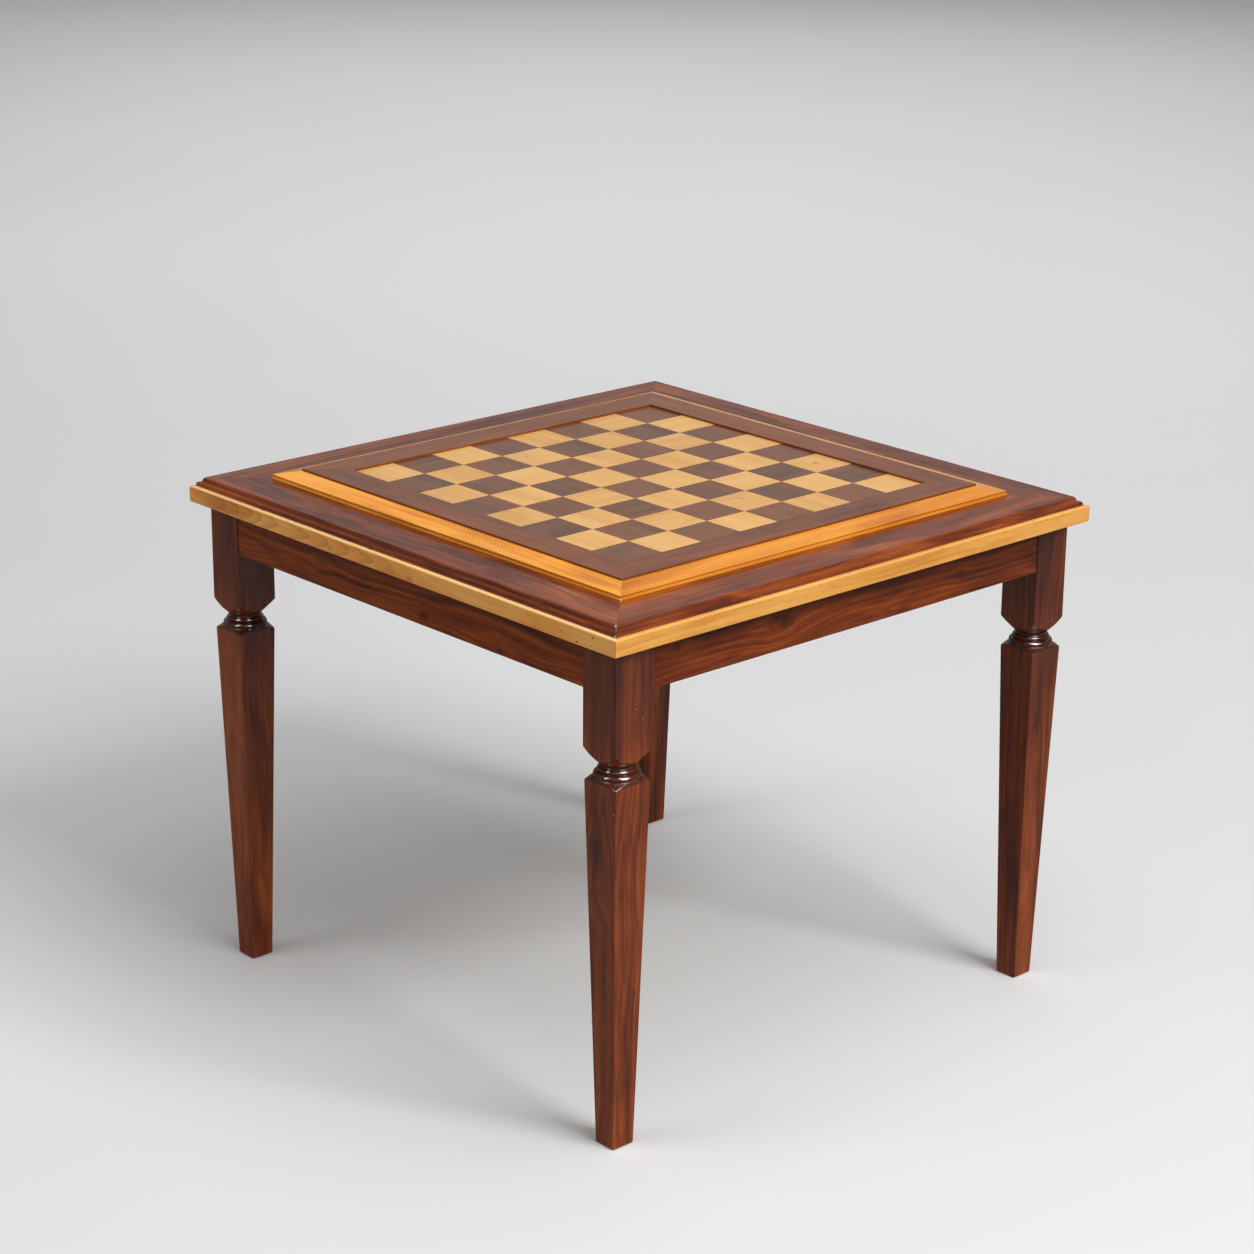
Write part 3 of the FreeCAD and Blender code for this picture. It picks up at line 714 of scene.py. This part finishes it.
def makeTiles(name, remainder, node, material):
    dice = random.Random(chequer["seed"] + remainder)
    low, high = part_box(node)
    square = (high.x - low.x) / chequer["count"]
    side = square - chequer["gap"]
    thick = chequer["thickness"]
    reach = chequer["grainSpread"]
    mesh = bmesh.new()
    grainLayer = mesh.verts.layers.float_vector.new("tileGrain")
    toneLayer = mesh.verts.layers.float.new("tileTone")
    for column in range(chequer["count"]):
        for row in range(chequer["count"]):
            if (column + row) % 2 != remainder:
                continue
            tile = bmesh.ops.create_cube(mesh, size=1.0)["verts"]
            bmesh.ops.scale(mesh, vec=(side, side, thick), verts=tile)
            edges = dict.fromkeys(edge for v in tile for edge in v.link_edges)
            topEdges = [edge for edge in edges if all(v.co.z > 0 for v in edge.verts)]
            made = bmesh.ops.bevel(mesh, geom=topEdges, offset=chequer["arris"], offset_type="OFFSET",
                                   affect="EDGES", segments=chequer["arrisSteps"], profile=0.5,
                                   material=-1)
            tile = list(dict.fromkeys([v for v in tile if v.is_valid] + made["verts"]))
            tone = dice.random()
            turned = dice.random() < chequer["turnedShare"]
            grainStart = Vector([dice.uniform(-reach, reach) for axis in range(3)])
            for v in tile:
                flat = Vector((v.co.y, -v.co.x, v.co.z)) if turned else v.co
                v[grainLayer] = flat + grainStart
                v[toneLayer] = tone
            sunk = dice.uniform(0, chequer["unevenness"])
            place = Vector((low.x + (column + 0.5) * square, low.y + (row + 0.5) * square,
                            high.z - thick / 2 - sunk))
            bmesh.ops.translate(mesh, vec=place, verts=tile)
    piece = addObject(name, mesh)
    piece.data.materials.append(material)
    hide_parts(node)
    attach(piece, "board")


lightTile = {"dark": (0.60, 0.290, 0.070), "middle": (0.75, 0.400, 0.112),
             "light": (0.82, 0.490, 0.170), "line": (0.46, 0.200, 0.050),
             "knot": (0.10, 0.045, 0.018), "stops": (0.28, 0.50, 0.74),
             "seed": 113.0, "pitch": 0.0060, "side": 0.0, "depth": 0.050, "wander": 0.014,
             "streaks": 0.20, "clouds": 0.28, "tones": (0.44, 0.58), "lines": 0.10,
             "fibre": (0.96, 1.03), "gloss": 0.20,
             "knots": (((0.0850, 0.1985, 0.5976), 0.0030, 0.9), ((0.1340, 0.0310, 0.5976), 0.0035, 0.5),
                       ((-0.1488, -0.0379, 0.5976), 0.0022, 0.7))}
darkTile = {"deep": (0.040, 0.0160, 0.0100), "dark": (0.100, 0.0400, 0.0200),
            "middle": (0.172, 0.0600, 0.0220), "light": (0.225, 0.0750, 0.0240),
            "stops": (0.16, 0.36, 0.54, 0.76),
            "seed": 127.0, "pitch": 0.0060, "side": 0.0, "depth": 0.050, "wander": 0.020,
            "streaks": 0.22, "rings": 0.10, "clouds": 0.24, "tones": (0.44, 0.60), "pores": 0.10,
            "fibre": (0.95, 1.05), "gloss": 0.20}


def startTile(name):
    # each tile carries its own grain place and tone; the knots lie at places on the board
    material, tree, shader = newMaterial(name)
    place = addNode(tree, "Attribute", attribute_name="tileGrain").outputs["Vector"]
    tone = addNode(tree, "Attribute", attribute_name="tileTone").outputs["Fac"]
    return material, tree, shader, place, tone, objectPoint(tree)


def makeLightTileWood():
    look = lightTile
    material, tree, shader, place, tileTone, objectPlace = startTile("light_tile_wood")
    place, dark = partRound(tree, place, objectPlace, look["knots"])
    grain = woodRings(tree, place, look)
    streaks = around(tree, grain["Streaks"], look["streaks"])
    tone = plus(tree, streaks, around(tree, grain["Clouds"], look["clouds"]))
    tone = plus(tree, tone, spread(tree, tileTone, 0.0, 1.0, *look["tones"]))
    wood = band(tree, tone, look["stops"], (look["dark"], look["middle"], look["light"]))
    wood = blend(tree, times(tree, grain["Late Wood"], look["lines"]), wood, look["line"])
    wood = fibreShade(tree, wood, grain, look["fibre"])
    wood = blend(tree, dark, wood, look["knot"])
    tree.links.new(wood, shader.inputs["Base Color"])
    lacquer(tree, shader, grain, objectPlace, look)
    return material


def makeDarkTileWood():
    look = darkTile
    material, tree, shader, place, tileTone, objectPlace = startTile("dark_tile_wood")
    grain = woodRings(tree, place, look)
    streaks = around(tree, grain["Streaks"], look["streaks"])
    tone = plus(tree, streaks, around(tree, grain["Rings"], look["rings"]))
    tone = plus(tree, tone, around(tree, grain["Clouds"], look["clouds"]))
    tone = plus(tree, tone, spread(tree, tileTone, 0.0, 1.0, *look["tones"]))
    wood = band(tree, tone, look["stops"],
                (look["deep"], look["dark"], look["middle"], look["light"]))
    wood = fibreShade(tree, wood, grain, look["fibre"])
    wood = blend(tree, times(tree, grain["Pores"], look["pores"]), wood, look["deep"])
    tree.links.new(wood, shader.inputs["Base Color"])
    lacquer(tree, shader, grain, objectPlace, look)
    return material


makeTiles("light_tiles", 0, "light_squares", makeLightTileWood())
makeTiles("dark_tiles", 1, "dark_squares", makeDarkTileWood())
print("chequer laid:", chequer["count"] ** 2, "tiles")


# The baize that lines the well

baize = {"side": 0.5, "thickness": 0.0015, "cells": 60, "unevenness": 0.00035, "seed": 5,
         "deep": (0.004, 0.026, 0.010), "green": (0.010, 0.062, 0.024), "nap": (0.022, 0.105, 0.045),
         "stops": (0.30, 0.55, 0.75), "fuzz": (1500.0, 1500.0, 4.0, 0.7),
         "napPatches": (26.0, 26.0, 3.0, 0.6), "napEdge": (0.35, 0.7), "napShare": 0.4,
         "strength": 0.6, "distance": 0.0004, "roughness": 0.95, "sheen": 0.35, "sheenRoughness": 0.5}


def makeBaizeCloth():
    look = baize
    material, tree, shader = newMaterial("green_baize", **{
        "Roughness": look["roughness"], "Sheen Weight": look["sheen"],
        "Sheen Roughness": look["sheenRoughness"]})
    place = objectPoint(tree)
    fuzz = cloud(tree, place, *look["fuzz"])
    nap = cloud(tree, place, *look["napPatches"])
    cloth = band(tree, fuzz, look["stops"], (look["deep"], look["green"], look["nap"]))
    brushed = times(tree, spread(tree, nap, *look["napEdge"]), look["napShare"])
    tree.links.new(blend(tree, brushed, cloth, look["nap"]), shader.inputs["Base Color"])
    addBump(tree, shader, fuzz, look["strength"], look["distance"])
    return material


def makeBaize():
    dice = random.Random(baize["seed"])
    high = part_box("tray_baize")[1]
    mesh = bmesh.new()
    cells = baize["cells"]
    bmesh.ops.create_grid(mesh, x_segments=cells, y_segments=cells, size=baize["side"] / 2)
    for v in mesh.verts:
        v.co.z = high.z - dice.random() * baize["unevenness"]
    bmesh.ops.smooth_vert(mesh, verts=mesh.verts, factor=0.5, use_axis_z=True)
    piece = addObject("baize_lining", mesh)
    solid = piece.modifiers.new("thickness", "SOLIDIFY")
    solid.thickness = baize["thickness"] - baize["unevenness"]
    solid.offset = -1.0
    for face in piece.data.polygons:
        face.use_smooth = True
    piece.data.materials.append(makeBaizeCloth())
    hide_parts("tray_baize")
    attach(piece, "table")


makeBaize()
print("baize laid")


# Studio: a wide pale floor, soft lights and a dim grey room

studio = {"floorHalf": 40.0, "floorGrey": 0.705, "bounceGrey": 0.45, "mirrorGrey": 0.22,
          "paper": (0.8, 0.8, 2.0, 0.5), "paperTones": (0.988, 1.012), "roughness": 0.9, "shine": 0.1,
          "roomLight": 0.22, "openBeam": 180.0}
lamps = {
    "key_softbox": dict(azimuth=97.0, elevation=39.0, distance=6.5, size=(2.9, 2.4), power=316.0,
                        aim=(0.0, 0.0, 0.35)),
    "top_softbox": dict(azimuth=90.0, elevation=74.0, distance=3.5, size=(3.0, 3.0), power=65.0,
                        aim=(0.0, 0.0, 0.30)),
    "fill_softbox": dict(azimuth=-20.0, elevation=30.0, distance=4.5, size=(2.0, 2.0), power=31.0,
                         aim=(0.0, 0.0, 0.30), mirrored=False),
    "back_softbox": dict(azimuth=227.0, elevation=88.0, distance=4.2, size=(6.0, 6.5), power=72.0,
                         aim=(-4.1, 3.85, 0.0), mirrored=False, beam=80.0),
    "glint_panel": dict(azimuth=80.0, elevation=40.0, distance=2.9, size=(1.3, 2.6), power=380.0,
                        aim=(0.0, 0.0, 0.4), lighting=False, only="legs"),
    "glint_strip": dict(azimuth=-4.0, elevation=36.0, distance=2.9, size=(0.5, 2.4), power=110.0,
                        aim=(0.0, 0.0, 0.4), lighting=False, only="legs"),
    "backdrop_glow": dict(azimuth=227.0, elevation=22.0, distance=9.0, size=(12.0, 5.0), power=30.0,
                          aim=(0.0, 0.0, 0.6), lighting=False),
}


def towards(azimuth, elevation):
    a, e = math.radians(azimuth), math.radians(elevation)
    return Vector((math.sin(a) * math.cos(e), -math.cos(a) * math.cos(e), math.sin(e)))


def makeFloor():
    mesh = bmesh.new()
    bmesh.ops.create_grid(mesh, x_segments=8, y_segments=8, size=studio["floorHalf"])
    floor = addObject("studio_floor", mesh)
    material, tree, shader = newMaterial("studio_floor", **{
        "Roughness": studio["roughness"], "Specular IOR Level": studio["shine"]})
    mottle = cloud(tree, objectPoint(tree), *studio["paper"])
    paper = spread(tree, mottle, *wholeRange, *studio["paperTones"])
    # the floor throws less light back up, and less still into the lacquer, than it shows
    ray = addNode(tree, "LightPath").outputs
    unseen = blend(tree, ray["Is Glossy Ray"], (studio["bounceGrey"],) * 3, (studio["mirrorGrey"],) * 3)
    tone = blend(tree, ray["Is Camera Ray"], unseen, (studio["floorGrey"],) * 3)
    tree.links.new(shade(tree, tone, paper), shader.inputs["Base Color"])
    floor.data.materials.append(material)


def makeLights():
    legsOnly = bpy.data.collections.new("legs_only")  # the two glint panels shine on the legs alone
    for corner in corners:
        legsOnly.objects.link(nodes["leg_" + corner])
    for name, look in lamps.items():
        light = bpy.data.lights.new(name, "AREA")
        light.shape = "RECTANGLE"
        light.size, light.size_y = look["size"]
        light.energy = look["power"]
        light.spread = math.radians(look.get("beam", studio["openBeam"]))
        lamp = bpy.data.objects.new(name, light)
        lamp.visible_glossy = look.get("mirrored", True)
        lamp.visible_diffuse = look.get("lighting", True)
        if look.get("only") == "legs":
            lamp.light_linking.receiver_collection = legsOnly
        scene.collection.objects.link(lamp)
        back = towards(look["azimuth"], look["elevation"])
        lamp.location = Vector(look["aim"]) + back * look["distance"]
        lamp.rotation_euler = (-back).to_track_quat("-Z", "Y").to_euler()


def makeRoom():
    world = bpy.data.worlds.new("grey_room")
    world.use_nodes = True
    background = world.node_tree.nodes["Background"]
    background.inputs["Color"].default_value = (1.0, 1.0, 1.0, 1.0)
    background.inputs["Strength"].default_value = studio["roomLight"]
    scene.world = world


view = {"place": (2.4801, -2.2855, 1.5590), "azimuth": 46.111, "elevation": 18.640, "roll": 0.966,
        "lens": 89.12, "sensor": 36.0, "shift": -0.0582, "reach": 200.0}


def makeCamera():
    data = bpy.data.cameras.new("camera")
    data.sensor_width = view["sensor"]
    data.lens = view["lens"]
    data.shift_x = view["shift"]
    data.clip_end = view["reach"]
    camera = bpy.data.objects.new("camera", data)
    scene.collection.objects.link(camera)
    back = towards(view["azimuth"], view["elevation"])
    right = (-back).cross(Vector((0, 0, 1))).normalized()
    up = right.cross(-back)
    axes = Matrix((right, up, back)).transposed().to_4x4()
    roll = Matrix.Rotation(math.radians(view["roll"]), 4, "Z")
    camera.matrix_world = Matrix.Translation(view["place"]) @ axes @ roll
    scene.camera = camera


makeFloor()
makeLights()
makeRoom()
makeCamera()
scene.view_settings.view_transform = "Standard"
print("studio ready")
